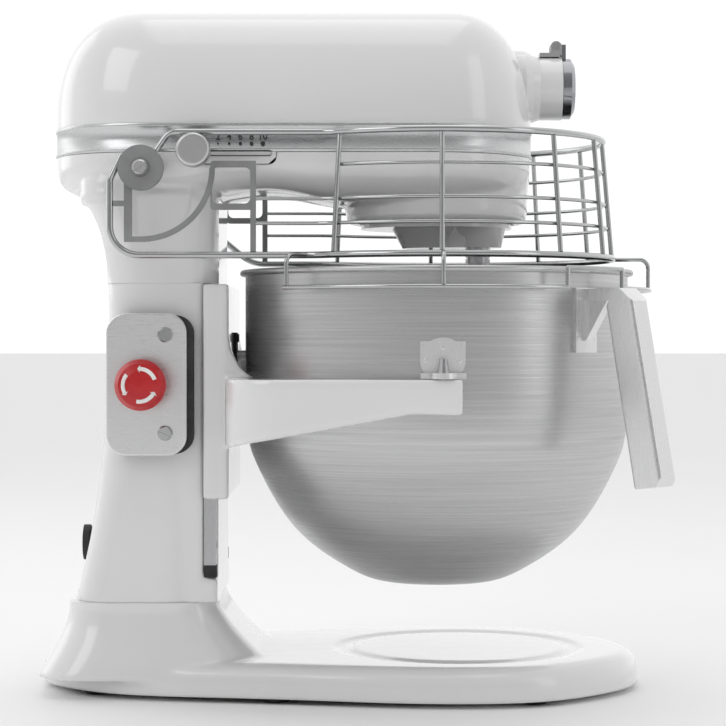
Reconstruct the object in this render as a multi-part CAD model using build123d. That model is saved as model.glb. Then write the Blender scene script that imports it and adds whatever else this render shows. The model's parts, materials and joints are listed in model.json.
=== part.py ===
from build123d import *
import math
import os

os.makedirs("parts", exist_ok=True)

# Commercial bowl-lift stand mixer. Millimetres, +X forward, +Z up, +Y to the machine's left.
# Origin: centre of the footprint, on the table.

# Overall
HEAD_TOP = 416.3
HEAD_REAR, HEAD_FRONT = -179.4, 116.2
HEAD_HALF_WIDTH = 69.5
BAND_LOW, BAND_HIGH = 326.0, 344.0
BOWL_X = 57.0                     # vertical axis of the bowl and of the planetary drive
WALL = 3.0                        # cast and moulded wall thickness

# Column and base
COLUMN_HALF_WIDTH = 60.0
COLUMN_FRONT = -84.0
SPINE_FRONT, SPINE_HALF_WIDTH = -76.0, 51.7
COLUMN_TOP, COLUMN_FOOT = 248.5, 57.0
PLATE_TOP, PLATE_LOW = 23.0, 3.0
BASE_REAR, BASE_FRONT = -187.5, 182.5
RECESS_R, RECESS_INNER_R, RECESS_DEPTH = 77.0, 66.0, 1.6

# Bowl
BOWL_R, BOWL_LIP_R, BOWL_RIM = 119.0, 122.4, 257.5
BOWL_BOTTOM, BOWL_FLOOR_R, BOWL_GAUGE = 64.4, 30.0, 1.2
EAR_R, EAR_TOP, EAR_FLANGE_LOW = 13.0, 216.0, 192.3
PIN_BASE_R, PIN_TIP_R, PIN_TOP = 4.1, 2.3, 203.7
HANDLE_AZIMUTH = -45.0

# Bowl lift
BOWL_LIFT = 4.0                   # how far the bowl rises off its pins under the closed guard
YOKE_TOP, YOKE_ARM_IN, YOKE_ARM_OUT = 192.0, 124.5, 136.0
CARRIAGE_LOW, CARRIAGE_HIGH, CARRIAGE_FACE = 119.0, 248.0, -69.0
CARRIAGE_HALF_WIDTH, CHEEK_IN = 66.0, 60.3

# Guard
PIVOT_X, PIVOT_Z, GUARD_Y = -119.6, 315.8, 80.0
PIVOT_BOLT_R, PIVOT_DISC_R, PLATE_GAUGE = 4.0, 13.4, 3.0
FRAME_WIRE, UPRIGHT_WIRE, RING_WIRE, SKIRT_WIRE = 2.0, 1.5, 1.1, 1.3
TOP_WIRE_R, TOP_WIRE_Z = 103.5, 337.0
BOTTOM_WIRE_R, BOTTOM_WIRE_Z = 109.8, 264.5
SKIRT_R, SKIRT_Z = 132.5, 245.0

# Planetary drive
OFFSET = 30.0                     # planetary axis to agitator axis
OFFSET_ANGLE = -33.0
AGITATOR_X = BOWL_X + OFFSET * math.cos(math.radians(OFFSET_ANGLE))
AGITATOR_Y = OFFSET * math.sin(math.radians(OFFSET_ANGLE))
RING_TEETH, PINION_TEETH, MODULE = 60, 20, 1.5

# Attachment hub
HUB_Z, HUB_R, HUB_FACE = 371.0, 19.5, 134.8
COVER_HINGE_X, COVER_HINGE_Z = 131.5, 396.8

# Places and sections of the smaller parts
HOLLOW_X, HOLLOW_LENGTH, HOLLOW_WIDTH = 12.0, 150.0, 84.0
FEET = [(-150.0, 40.0), (-150.0, -40.0), (-40.0, 72.0), (-40.0, -72.0), (112.0, 78.0), (112.0, -78.0)]
FOOT_R = 9.0
COLUMN_LEVELS = [(-163.0, 62.0, COLUMN_FOOT), (-157.5, 61.5, 80.0), (-150.5, 61.0, 118.0),
                 (-146.0, 60.0, 160.0), (-143.8, 60.0, 200.0), (-143.8, 60.0, COLUMN_TOP)]
ESTOP_X, ESTOP_Z = -119.3, 188.0
GLAND_X, GLAND_Z, GLAND_R = -154.0, 88.0, 8.0
LIFT_SHAFT_X, LIFT_SHAFT_Z, LIFT_SHAFT_R = -118.0, 128.0, 6.0
RAIL_LOW, RAIL_HIGH = 79.4, 246.0
UPPER_STATIONS = [-178.6, -175.0, -168.0, -155.0, -138.0, -118.0, -70.0, 0.0, 45.0, 66.0, 84.0, 98.0, 108.0, 114.4]
LOWER_PROFILE = [(-178.4, 321.5), (-175.0, 309.5), (-168.0, 304.5), (-152.0, 300.0), (-115.0, 298.0),
                 (-70.0, 301.0), (-45.0, 303.5), (-10.0, 298.5), (25.0, 296.0), (57.0, 296.0),
                 (84.0, 298.0), (98.0, 301.0), (108.0, 306.0), (114.4, 314.0)]
BULGE_R, BULGE_TOP_R, BULGE_LOW = 56.0, 58.9, 286.0
CARRIER_DISC_R = 47.1
NECK = [(-143.8, 60.0, COLUMN_TOP), (-144.6, 60.4, 262.0), (-148.8, 61.5, 282.0), (-160.0, 65.0, 302.0)]
KNOB_X = 104.0
HUB_BORE_R, SOCKET_DEPTH = 12.8, 24.0
KNOB_STEM_R = 4.0
SLOT_Z, SLOT_REAR, SLOT_FRONT = 325.4, -94.0, -42.8
SPEED_X, STEM_R = -88.0, 3.6
ESTOP_FACE, ESTOP_STEM_R, BUTTON_R = -70.5, 5.0, 15.1
EAR_PIN_Y = 130.0
REAR_PIN_R, REAR_PIN_Z = 3.0, 205.0
BEND_R = 25.0
LOOP_X = -137.9
BAR_FRONT = -51.8
UPRIGHTS = [-125.0, -90.0, -50.0, -25.0, 0.0, 25.0, 50.0, 90.0, 125.0]
RING_LEVELS = [297.8, 283.2]
SHORT_RING_Z = 317.8
ARCH_FROM, ARCH_TO, ARCH_Z = -57.0, -36.0, 256.2
SKIRT_END = 134.0
LINKS = [-SKIRT_END + 1, -90.0, 0.0, 90.0, SKIRT_END - 1]
ARC_OUTER, ARC_INNER = 43.6, 40.4
SHAFT_R, AGITATOR_R, SHANK_R = 8.0, 7.6, 6.35
CARRIER_LOW, CARRIER_SKIRT, CARRIER_TOP = 271.3, 283.2, 289.5
RING_LOW, RING_HIGH = 292.0, 302.0
CROWN_LOW, CROWN_PITCH_R, CROWN_TOP = 340.0, 30.0, 353.4
BEVEL_PITCH_R = 24.0
SOCKET_SQUARE, HUB_SHAFT_END = 11.0, 109.0
TOOTH_REACH = 0.9
SHANK_LOW, CROSS_PIN_Z = 234.0, 242.0
BEARING_R = 17.0
MOTOR_R, MOTOR_REAR, MOTOR_FRONT = 37.5, -146.0, -66.0


def save(name, shape):
    shape.label = name
    export_step(shape, f"parts/{name}.step")


def polar(radius, degrees, z=0.0):
    """A point on a circle about the bowl axis."""
    angle = math.radians(degrees)
    return (BOWL_X + radius * math.cos(angle), radius * math.sin(angle), z)


def round_bar(path, radius):
    """A round wire along a path."""
    start = path @ 0
    return sweep(Plane(origin=start, z_dir=path % 0) * Circle(radius), path=path)


def up(sketch, height):
    """Extrude a horizontal outline upwards."""
    return extrude(sketch, height, dir=(0, 0, 1))


def rounded_box(x0, x1, y0, y1, z0, z1, radius):
    """A box with its vertical edges rounded."""
    outline = Pos((x0 + x1) / 2, (y0 + y1) / 2, z0) * RectangleRounded(x1 - x0, y1 - y0, radius)
    return up(outline, z1 - z0)


def column_section(rear, half_width, z, radius, inset=0.0):
    width = COLUMN_FRONT - rear - 2 * inset
    centre = Pos((COLUMN_FRONT + rear) / 2, 0, z)
    return centre * RectangleRounded(width, 2 * (half_width - inset), max(radius - inset, 1.0))


# ---------------------------------------------------------------- base casting


def base_outline():
    """Half of the foot plate's outline, mirrored: narrow at the back, widest under the bowl."""
    half = [(BASE_REAR, 0), (-173, 36), (-134, 66), (-88, 77.5), (-26, 88), (32, 100),
            (79, 102.5), (114, 95.5), (152, 68), (174, 38), (BASE_FRONT, 0)]
    near = [(x, -y) for x, y in half[1:-1]]
    points = half + near[::-1]
    curve = Spline([Vector(x, y, 0) for x, y in points], periodic=True)
    return make_face(curve)


def make_base():
    plate = up(Pos(0, 0, PLATE_LOW) * base_outline(), PLATE_TOP - PLATE_LOW)
    plate = fillet(plate.edges().group_by(Axis.Z)[-1], 12.0)
    foot = [(-186.0, -40.0, 74.0, PLATE_TOP - 12), (-178.0, -52.0, 70.0, PLATE_TOP + 2),
            (-171.0, -65.0, 65.0, 38.0), (-167.5, -77.0, 62.5, COLUMN_FOOT)]
    rings = []
    for rear, front, half_width, z in foot:
        radius = 0.42 * half_width
        rings.append(Pos((rear + front) / 2, 0, z) * RectangleRounded(front - rear, 2 * half_width, radius))
    body = plate + loft(rings)
    body -= up(Pos(HOLLOW_X, 0, PLATE_LOW - 1) * Ellipse(HOLLOW_LENGTH, HOLLOW_WIDTH), PLATE_TOP - PLATE_LOW - 6)
    recess = Pos(BOWL_X + 14, 0, PLATE_TOP - RECESS_DEPTH)
    body -= up(recess * Circle(RECESS_R) - recess * Circle(RECESS_INNER_R), 5)
    body -= up(Pos(-124, 0, PLATE_LOW) * RectangleRounded(70, 96, 20), COLUMN_FOOT - 8)
    for x, y in FEET:
        body -= Pos(x, y, 8.0) * Cylinder(FOOT_R, 16.0)
    return body


def make_feet():
    """Rubber feet pressed up into the hollow of the base, standing 3 mm proud of its rim."""
    feet = []
    for x, y in FEET:
        stem = Pos(x, y, 0) * Cylinder(FOOT_R, 16.0, align=(Align.CENTER, Align.CENTER, Align.MIN))
        feet.append(chamfer(stem.edges().group_by(Axis.Z)[0], 1.5))
    return Compound(feet)


# ---------------------------------------------------------------- column


def column_outside():
    body = loft([column_section(rear, half, z, 22.0) for rear, half, z in COLUMN_LEVELS])
    return body + rounded_box(-110.0, COLUMN_FRONT, -59.9, 59.9, COLUMN_FOOT, COLUMN_TOP, 1.5)


def make_column():
    """Cast column: rounded back, flat sides, a narrower spine in front that the carriage slides on."""
    inside = [column_section(rear, half, z, 22.0, inset=6.0) for rear, half, z in COLUMN_LEVELS]
    body = column_outside()
    body += rounded_box(-100.0, SPINE_FRONT, -SPINE_HALF_WIDTH, SPINE_HALF_WIDTH,
                        COLUMN_FOOT, COLUMN_TOP, 2.0)
    body += rounded_box(-110.0, SPINE_FRONT, -59.9, 59.9, COLUMN_FOOT, 72.0, 1.5)
    body -= loft(inside)
    body -= Pos(ESTOP_X, -COLUMN_HALF_WIDTH, ESTOP_Z) * Rot(90, 0, 0) * Cylinder(ESTOP_STEM_R + 0.4, 24.0)
    body -= Pos(LIFT_SHAFT_X, 60, LIFT_SHAFT_Z) * Rot(90, 0, 0) * Cylinder(LIFT_SHAFT_R + 0.05, 40.0)
    return body - Pos(GLAND_X, 0, GLAND_Z) * Rot(0, 90, 0) * Cylinder(GLAND_R, 30.0)


def make_rails():
    """Two ground steel bars in the corners between the spine and the sides of the column."""
    rails = []
    for side in (1, -1):
        bar = Pos(-80.4, side * 55.85, (RAIL_LOW + RAIL_HIGH) / 2) * Box(7.2, 8.1, RAIL_HIGH - RAIL_LOW)
        for z in (RAIL_LOW + 12, RAIL_HIGH - 12):
            bar -= Pos(-76.8, side * 55.85, z) * Rot(0, 90, 0) * Cylinder(2.2, 4.0)
        rails.append(bar)
    return Compound(rails)


def make_rail_stops():
    """Rubber buffers under the rails."""
    stops = []
    for side in (1, -1):
        block = Pos(-80.2, side * 56.0, 75.7) * Box(7.6, 7.9, 7.2)
        stops.append(block)
    return Compound(stops)


# ---------------------------------------------------------------- head shells
def head_profile_top(x):
    """Height of the upper cover above the top of the band, at a station along the head."""
    rise = HEAD_TOP - BAND_HIGH
    if x < -118.0:
        u = min(1.0, (-118.0 - x) / (-118.0 - HEAD_REAR))
        return rise * (1 - u ** 2.6) ** (1 / 2.2)
    if x > 66.0:
        u = min(1.0, (x - 66.0) / (HEAD_FRONT - 66.0))
        return rise * (1 - u ** 2.2) ** (1 / 2.2)
    return rise


def head_half_width(x):
    """Plan outline of the head: a long oval with a rounder front."""
    if x < -95.0:
        u = (-95.0 - x) / (-95.0 - HEAD_REAR)
        return HEAD_HALF_WIDTH * (1 - min(1.0, u) ** 3.0) ** (1 / 2.0)
    if x > 45.0:
        u = (x - 45.0) / (HEAD_FRONT - 45.0)
        return HEAD_HALF_WIDTH * (1 - min(1.0, u) ** 2.1) ** (1 / 2.1)
    return HEAD_HALF_WIDTH


def hoop(x, half_width, base_z, rise, power=3.0, steps=8):
    """Half of a superellipse standing on (or hanging from) a straight chord, across the head."""
    points = []
    for i in range(steps + 1):
        t = math.pi * i / steps
        c, s = math.cos(t), math.sin(t)
        y = half_width * math.copysign(abs(c) ** (2 / power), c)
        points.append(Vector(x, y, base_z + rise * abs(s) ** (2 / power)))
    arch = Spline(points)
    return make_face([arch, Line(points[-1], points[0])])


def upper_dome(inset):
    hoops = []
    for x in UPPER_STATIONS:
        if HEAD_REAR + 1.3 * inset < x < HEAD_FRONT - 1.3 * inset:
            rise = head_profile_top(x) - inset
            hoops.append(hoop(x, head_half_width(x) - inset, BAND_HIGH, max(rise, 2.0)))
    return loft(hoops)


def make_head_cover():
    """Moulded upper cover of the head, hollow, open where the hub sleeve and its clamp screw pass."""
    shell = upper_dome(0.0) - up(Pos(-31.6, 0, BAND_HIGH - 1) * Rectangle(400, 200), 1.0)
    shell -= upper_dome(WALL)
    hub_hole = Pos(HUB_FACE - 20, 0, HUB_Z) * Rot(0, 90, 0) * Cylinder(HUB_R + 4.7, 90.0)
    knob_hole = Pos(KNOB_X, 40.0, HUB_Z) * Rot(90, 0, 0) * Cylinder(4.6, 60.0)
    return shell - hub_hole - knob_hole


def lower_hull(inset):
    hoops = []
    for x, bottom in LOWER_PROFILE:
        if HEAD_REAR + 1.3 * inset < x < HEAD_FRONT - 1.3 * inset:
            drop = BAND_LOW - bottom - inset
            hoops.append(hoop(x, head_half_width(x) - inset, BAND_LOW, -max(drop, 1.5), power=3.6))
    return loft(hoops)


def neck(inset):
    rings = []
    for rear, half_width, z in NECK:
        centre = Pos((SPINE_FRONT + rear) / 2, 0, z)
        width = SPINE_FRONT - rear - 2 * inset
        rings.append(centre * RectangleRounded(width, 2 * (half_width - inset), 20.0 - inset))
    return loft(rings)


def make_gearcase():
    """Lower head casting: the hull of the head, the round gear chamber in front, the neck at the back."""
    chamber = Pos(BOWL_X, 0, (BULGE_LOW + BAND_LOW) / 2) * Cone(BULGE_R, BULGE_TOP_R, BAND_LOW - BULGE_LOW)
    chamber = fillet(chamber.edges().group_by(Axis.Z)[0], 5.0)
    body = lower_hull(0.0) + chamber + neck(0.0)
    inside = lower_hull(WALL) + Pos(BOWL_X, 0, 308.5) * Cylinder(BULGE_R - WALL, 39.0)
    inside += neck(6.0)
    body -= inside
    body -= Pos(BOWL_X, 0, BULGE_LOW) * Cylinder(CARRIER_DISC_R + 0.3, 20.0)
    for side in (1, -1):
        body -= Pos(PIVOT_X, side * 68.0, PIVOT_Z) * Rot(90, 0, 0) * Cylinder(PIVOT_BOLT_R, 12.0)
    return body - speed_window()


def band_face(outset, inset_inside):
    """The plan outline of the head as a closed ring."""
    rings = []
    for grow in (outset, -inset_inside):
        left = []
        for i in range(15):
            t = math.pi * i / 14
            x = -31.6 + (HEAD_FRONT - HEAD_REAR) / 2 * math.cos(t)
            left.append((x, head_half_width(min(max(x, HEAD_REAR + 0.01), HEAD_FRONT - 0.01))))
        rear, front = HEAD_REAR - grow * 0.5, HEAD_FRONT + grow * 0.5
        points = [(front, 0.0)] + [(x, y + grow) for x, y in left[1:-1]] + [(rear, 0.0)]
        points += [(x, -y) for x, y in points[-2:0:-1]]
        rings.append(make_face(Spline([Vector(x, y, 0) for x, y in points], periodic=True)))
    return rings[0] - rings[1]


def make_trim_band():
    """Bright band round the head between the cover and the gearcase."""
    return up(Pos(0, 0, BAND_LOW) * band_face(0.4, WALL), BAND_HIGH - BAND_LOW) - speed_window()


def speed_window():
    """Opening in the near side of the head for the slot liner of the speed control."""
    return Pos((SLOT_REAR + SLOT_FRONT) / 2, -68.6, SLOT_Z) * Box(SLOT_FRONT - SLOT_REAR + 4.2, 12.0, 11.6)


# ---------------------------------------------------------------- attachment hub


def make_hub_sleeve():
    """Cast socket for attachments: a tube flared against the head, its bore relieved round the drive shaft."""
    profile = [(88.0, 0.0), (88.0, 23.9), (112.0, 23.9), (116.5, 21.2), (121.0, HUB_R), (HUB_FACE, HUB_R),
               (HUB_FACE, 0.0)]
    outline = make_face(Polyline([Vector(x, 0, r) for x, r in profile], close=True))
    body = revolve(outline, Axis.X)
    body = Pos(0, 0, HUB_Z) * body
    body -= Pos(112.0, 0, HUB_Z) * Rot(0, 90, 0) * Cylinder(HUB_BORE_R, 60.0)
    relief = Pos(HUB_FACE - SOCKET_DEPTH - 15.0, 0, HUB_Z) * Rot(0, 90, 0) * Cylinder(HUB_BORE_R + 2.0, 30.0)
    body -= relief
    body -= Pos(KNOB_X, 20.0, HUB_Z) * Rot(90, 0, 0) * Cylinder(KNOB_STEM_R + 0.05, 40.0)
    return body


def make_hub_bracket():
    """Small saddle on top of the sleeve that carries the hinge pin of the cover."""
    body = Pos(COVER_HINGE_X - 4.0, 0, HUB_Z + HUB_R + 1.2) * Box(12.6, 12.0, 2.6)
    for side in (1, -1):
        ear = Pos(COVER_HINGE_X, side * 4.6, COVER_HINGE_Z) * Rot(90, 0, 0) * Cylinder(3.5, 2.4)
        web = Pos(COVER_HINGE_X, side * 4.6, COVER_HINGE_Z - 2.6) * Box(7.0, 2.4, 5.2)
        body += ear + web
    body -= Pos(0, 0, HUB_Z) * Rot(0, 90, 0) * Cylinder(HUB_R, 400.0)
    return body - Pos(COVER_HINGE_X, 0, COVER_HINGE_Z) * Rot(90, 0, 0) * Cylinder(1.5, 30.0)


def make_hub_pin():
    pin = Pos(COVER_HINGE_X, 0, COVER_HINGE_Z) * Rot(90, 0, 0) * Cylinder(1.5, 12.4)
    for side in (1, -1):
        pin += Pos(COVER_HINGE_X, side * 6.4, COVER_HINGE_Z) * Rot(90, 0, 0) * Cylinder(2.4, 1.2)
    return pin


def make_hub_cover():
    """Hinged cap over the hub: a shallow domed disc, its knuckle between the ears of the bracket."""
    gap = 0.3
    disc = Pos(HUB_FACE + gap + 2.6, 0, HUB_Z) * Rot(0, 90, 0) * Cylinder(HUB_R - 0.7, 5.2)
    dome = Pos(HUB_FACE + gap + 5.2, 0, HUB_Z) * Rot(0, 90, 0) * Cone(HUB_R - 0.7, HUB_R - 4.5, 2.4,
                                                                      align=(Align.CENTER, Align.CENTER, Align.MIN))
    knuckle = Pos(COVER_HINGE_X, 0, COVER_HINGE_Z) * Rot(90, 0, 0) * Cylinder(3.3, 6.2)
    strap = Pos(COVER_HINGE_X + 4.6, 0, COVER_HINGE_Z - 3.6) * Box(3.2, 6.2, 10.0)
    link = Pos(COVER_HINGE_X + 3.2, 0, COVER_HINGE_Z) * Box(6.0, 6.2, 3.2)
    body = disc + dome + knuckle + strap + link
    body -= Pos(COVER_HINGE_X, 0, COVER_HINGE_Z) * Rot(90, 0, 0) * Cylinder(1.55, 30.0)
    ear_room = Pos(0, 0, HUB_Z) * Rot(0, 90, 0) * Cylinder(HUB_R + 0.3, 2 * (HUB_FACE + 0.25))
    return body - ear_room


def make_attachment_knob():
    """Thumb screw on the far side that clamps an attachment's shank."""
    stem = Pos(KNOB_X, 34.1, HUB_Z) * Rot(-90, 0, 0) * Cylinder(KNOB_STEM_R, 41.8)
    grip = Pos(KNOB_X, 60.0, HUB_Z) * Rot(-90, 0, 0) * Cylinder(10.0, 12.0)
    for i in range(10):
        angle = math.radians(36 * i)
        notch = Pos(KNOB_X + 10.6 * math.cos(angle), 60.0, HUB_Z + 10.6 * math.sin(angle))
        grip -= notch * Rot(90, 0, 0) * Cylinder(1.6, 16.0)
    return stem + grip


# ---------------------------------------------------------------- speed control


def make_speed_plate():
    """Slot liner of the speed control, let into the side of the head."""
    length = SLOT_FRONT - SLOT_REAR + 4.0
    block = Pos((SLOT_REAR + SLOT_FRONT) / 2, -68.6, SLOT_Z) * Box(length, 4.6, 11.4)
    slot_long = SLOT_FRONT - SLOT_REAR
    slot = Pos((SLOT_REAR + SLOT_FRONT) / 2, -68.6, SLOT_Z) * Box(slot_long - 2, 9.0, 2 * STEM_R + 0.8)
    return block - slot


def make_speed_knob():
    """Round grip on the outer end of the lever, outside the guard."""
    grip = Pos(SPEED_X, -90.5, SLOT_Z) * Rot(90, 0, 0) * Cylinder(10.0, 12.0)
    grip = fillet(grip.edges(), 2.0)
    return grip


def make_speed_lever():
    """Lever arm from the slider inside the head out to the knob."""
    stem = Pos(SPEED_X, -70.0, SLOT_Z) * Rot(90, 0, 0) * Cylinder(STEM_R, 29.0)
    slider = Pos(SPEED_X, -53.5, SLOT_Z) * Box(12.0, 4.0, 9.0)
    return stem + slider


def make_control_board():
    board = Pos(-100.0, -40.0, 333.0) * Box(82.0, 1.6, 46.0)
    for x, z, wide, tall in [(-130, 340, 14, 16), (-110, 322, 18, 12), (-84, 341, 20, 14), (-84, 321, 10, 10)]:
        board += Pos(x, -36.7, z) * Box(wide, 5.0, tall)
    return board + Pos(-71.0, -44.2, SLOT_Z) * Box(56.0, 6.8, 7.0)


# ---------------------------------------------------------------- emergency stop


def side_plate(x0, x1, z0, z1, y0, y1, radius):
    """A plate standing against the near side of the column, corners rounded."""
    centre = Plane(origin=((x0 + x1) / 2, y0, (z0 + z1) / 2), x_dir=(1, 0, 0), z_dir=(0, -1, 0))
    return extrude(centre * RectangleRounded(x1 - x0, z1 - z0, radius), y0 - y1, dir=(0, -1, 0))


def make_estop_box():
    box = side_plate(-139.6, -89.7, 146.6, 229.2, -58.0, -68.5, 11.0)
    box -= side_plate(-136.0, -93.3, 150.2, 225.6, -50.0, -66.5, 8.0)
    box -= column_outside()
    box -= Pos(ESTOP_X, -64.0, ESTOP_Z) * Rot(90, 0, 0) * Cylinder(11.4, 20.0)
    return box


def make_estop_cover():
    plate = side_plate(-141.4, -93.4, 145.4, 230.4, -68.5, ESTOP_FACE, 12.0)
    plate = fillet(plate.edges().filter_by_position(Axis.Y, ESTOP_FACE - 0.1, ESTOP_FACE + 0.1), 1.0)
    return plate - Pos(ESTOP_X, -69.0, ESTOP_Z) * Rot(90, 0, 0) * Cylinder(11.4, 20.0)


def make_estop_screws():
    """Two domed slotted screws."""
    screws = []
    for z in (217.5, 159.0):
        head = Pos(-106.3, ESTOP_FACE, z) * Sphere(4.6)
        head &= Pos(-106.3, ESTOP_FACE - 1.4, z) * Box(12, 2.8, 12)
        head -= Pos(-106.3, ESTOP_FACE - 3.2, z) * Rot(0, 25, 0) * Box(12, 3.0, 1.1)
        screws.append(head)
    return Compound(screws)


def make_estop_collar():
    """Threaded collar of the switch, clamped through the cover."""
    collar = Pos(ESTOP_X, -67.5, ESTOP_Z) * Rot(90, 0, 0) * Cylinder(11.4, 17.0)
    flange = Pos(ESTOP_X, ESTOP_FACE - 1.5, ESTOP_Z) * Rot(90, 0, 0) * Cylinder(13.2, 3.0)
    bore = Pos(ESTOP_X, -67.5, ESTOP_Z) * Rot(90, 0, 0) * Cylinder(ESTOP_STEM_R + 0.06, 40.0)
    column_side = Pos(ESTOP_X, -50.3, ESTOP_Z) * Box(40, 20.6, 40)
    return collar + flange - bore - column_side


def make_estop_button():
    """Red mushroom head."""
    profile = [(0, -95.0), (8.0, -94.6), (12.6, -93.0), (BUTTON_R, -89.0), (BUTTON_R, -84.6), (13.8, -83.0),
               (ESTOP_STEM_R, -82.4), (0, -82.4)]
    outline = make_face(Polyline([Vector(r, y, 0) for r, y in profile], close=True))
    return Pos(ESTOP_X, 0, ESTOP_Z) * revolve(outline, Axis.Y)


def make_estop_stem():
    return Pos(ESTOP_X, -67.2, ESTOP_Z) * Rot(90, 0, 0) * Cylinder(ESTOP_STEM_R, 30.4)


def make_estop_switch():
    """Contact block behind the stem, inside the column."""
    block = Pos(ESTOP_X, -40.0, ESTOP_Z) * Box(24.0, 12.0, 30.0)
    for z in (-9.0, 9.0):
        block += Pos(ESTOP_X, -32.5, ESTOP_Z + z) * Box(5.0, 3.0, 8.0)
    return block


# ---------------------------------------------------------------- bowl lift
def make_yoke():
    """Carriage with two arms round the bowl, one casting."""
    plate = rounded_box(SPINE_FRONT + 0.3, CARRIAGE_FACE, -CARRIAGE_HALF_WIDTH, CARRIAGE_HALF_WIDTH,
                        CARRIAGE_LOW, CARRIAGE_HIGH, 1.5)
    body = plate
    for side in (1, -1):
        y0, y1 = sorted((side * CHEEK_IN, side * CARRIAGE_HALF_WIDTH))
        body += Pos(-79.8, (y0 + y1) / 2, (CARRIAGE_LOW + CARRIAGE_HIGH) / 2) * Box(
            8.4, y1 - y0, CARRIAGE_HIGH - CARRIAGE_LOW)
    plan = Pos(-0.6, 0, 140) * RectangleRounded(136.8, 2 * YOKE_ARM_OUT, 34.0)
    front = Pos(34.0, 0, 140) * Rectangle(67.6, 2 * YOKE_ARM_OUT)
    inner = Pos(BOWL_X, 0, 140) * Circle(YOKE_ARM_IN - 1.0) + Pos(BOWL_X + 50, 0, 140) * Rectangle(
        100, 2 * (YOKE_ARM_IN - 1.0))
    arms = up(plan + front - inner, YOKE_TOP - 140)
    side_view = [(-72.0, YOKE_TOP), (67.8, YOKE_TOP), (67.8, 171.6), (39.5, 172.4), (-11.5, 163.0),
                 (-54.0, 155.4), (-72.0, 150.0)]
    profile = make_face(Polyline([Vector(x, -150, z) for x, z in side_view], close=True))
    body += arms & extrude(profile, 300, dir=(0, 1, 0))
    for side in (1, -1):
        rib = [(-70.0, 190.0), (-70.0, 222.0), (-67.6, 208.0), (-62.0, 197.5), (-55.0, 192.0), (-55.0, 190.0)]
        face = make_face(Polyline([Vector(x, side * 59.0 - 6.5, z) for x, z in rib], close=True))
        body += extrude(face, 13.0, dir=(0, 1, 0))
    body -= Pos(BOWL_X, 0, 200) * Cylinder(YOKE_ARM_IN - 1.0, 120.0)
    return body


def make_bowl_pins():
    """Tapered locating pins on the ends of the arms."""
    pins = []
    for side in (1, -1):
        where = Pos(BOWL_X, side * EAR_PIN_Y, YOKE_TOP)
        cone = where * Cone(PIN_BASE_R, PIN_TIP_R, PIN_TOP - YOKE_TOP,
                            align=(Align.CENTER, Align.CENTER, Align.MIN))
        pins.append(cone)
    return Compound(pins)


def make_latch_spring():
    """Black leaf on the carriage that snaps over the pin at the back of the bowl."""
    leaf = Pos(-68.2, 0, 206.0) * Box(1.6, 18.0, 26.0)
    notch_top = REAR_PIN_Z + BOWL_LIFT
    leaf -= Pos(-68.2, 0, notch_top) * Rot(0, 90, 0) * Cylinder(REAR_PIN_R + 0.6, 6.0)
    leaf -= Pos(-68.2, 0, notch_top - 10) * Box(6.0, 2 * (REAR_PIN_R + 0.6), 20.0)
    return leaf + Pos(-66.9, 0, 215.5) * Rot(0, 90, 0) * Cylinder(2.6, 1.4)


def make_lift_shaft():
    return Pos(LIFT_SHAFT_X, 12.2, LIFT_SHAFT_Z) * Rot(90, 0, 0) * Cylinder(LIFT_SHAFT_R, 131.6)


def make_lift_crank():
    """Crank inside the column, its roller pin towards the carriage."""
    arm = Pos(LIFT_SHAFT_X + 9, 20.0, LIFT_SHAFT_Z) * Box(18.0, 8.0, 12.0)
    arm += Pos(LIFT_SHAFT_X, 20.0, LIFT_SHAFT_Z) * Rot(90, 0, 0) * Cylinder(10.0, 8.0)
    arm += Pos(LIFT_SHAFT_X + 17, 14.0, LIFT_SHAFT_Z) * Rot(90, 0, 0) * Cylinder(4.0, 16.0)
    return arm - Pos(LIFT_SHAFT_X, 12.0, LIFT_SHAFT_Z) * Rot(90, 0, 0) * Cylinder(LIFT_SHAFT_R, 140.0)


def make_lift_lever():
    """Flat steel lever on the far end of the shaft, upright while the bowl is up."""
    outline = make_hull((Pos(0, 0) * Circle(11.0)).edges() + (Pos(0, 78.0) * Circle(7.0)).edges())
    plane = Plane(origin=(LIFT_SHAFT_X, 70.0, LIFT_SHAFT_Z), x_dir=(-1, 0, 0), z_dir=(0, 1, 0))
    lever = extrude(plane * outline, 7.0, dir=(0, 1, 0))
    return lever - Pos(LIFT_SHAFT_X, 60.0, LIFT_SHAFT_Z) * Rot(90, 0, 0) * Cylinder(LIFT_SHAFT_R, 60.0)


def make_lift_grip():
    """Black hand grip standing out from the end of the lever."""
    grip = Pos(LIFT_SHAFT_X, 98.0, LIFT_SHAFT_Z + 78.0) * Rot(90, 0, 0) * Cylinder(10.0, 42.0)
    return fillet(grip.edges(), 4.0)


def make_cord_gland():
    """Grommet at the foot of the column where the supply lead enters."""
    gland = Pos(GLAND_X, 0, GLAND_Z) * Rot(0, 90, 0) * Cylinder(GLAND_R, 12.0)
    flange = Pos(GLAND_X - 7.0, 0, GLAND_Z) * Rot(0, 90, 0) * Cylinder(11.0, 4.0)
    return gland + flange - Pos(GLAND_X, 0, GLAND_Z) * Rot(0, 90, 0) * Cylinder(3.6, 40.0)


# ---------------------------------------------------------------- bowl
def bowl_curve(gauge):
    """Half section of the bowl from its flat floor to the rim, as (radius, height) points."""
    return [(BOWL_FLOOR_R, BOWL_BOTTOM + gauge), (57.5 - 0.5 * gauge, 74.0 + 0.8 * gauge),
            (88.0 - 0.8 * gauge, 97.5 + 0.6 * gauge), (111.5 - gauge, 136.0 + 0.2 * gauge),
            (BOWL_R - gauge, 184.0)]


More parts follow.
